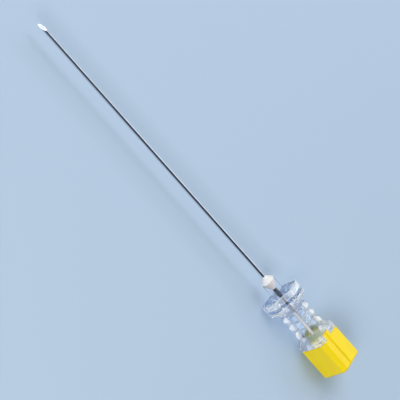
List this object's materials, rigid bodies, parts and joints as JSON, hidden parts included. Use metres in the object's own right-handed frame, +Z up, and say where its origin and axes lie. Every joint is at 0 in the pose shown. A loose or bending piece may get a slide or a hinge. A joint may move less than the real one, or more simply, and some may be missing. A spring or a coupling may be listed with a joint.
{
  "type": "spinal needle",
  "caption": "Spinal needle with a bevelled steel tube, a clear winged hub with scalloped grip fins, and a stylet on a square keyed cap.",
  "frame": {"origin": "on the needle's axis, where the free tube leaves the glue cone of the hub", "axes": "+X along the needle to its point; +Z up, the side of the alignment key and of the bevel; the part lies on the flat of its cap"},
  "size_m": [0.1203, 0.0082, 0.0086],
  "materials": {
    "clear_plastic": "clear polished polycarbonate",
    "tube_steel": "drawn and lightly polished stainless steel",
    "white_epoxy": "cured white epoxy, satin",
    "wire_steel": "drawn stainless steel",
    "yellow_plastic": "moulded, semi-gloss"
  },
  "bodies": {
    "needle": {"hub": "clear_plastic", "cannula": "tube_steel", "adhesive": "white_epoxy"},
    "stylet": {"stylet_cap": "yellow_plastic", "stylet_wire": "wire_steel"}
  },
  "joints": [
    {"name": "stylet_slide", "type": "slide", "parent": "needle", "child": "stylet", "axis": [-1, 0, 0], "range_m": [0, 0.12]}
  ]
}
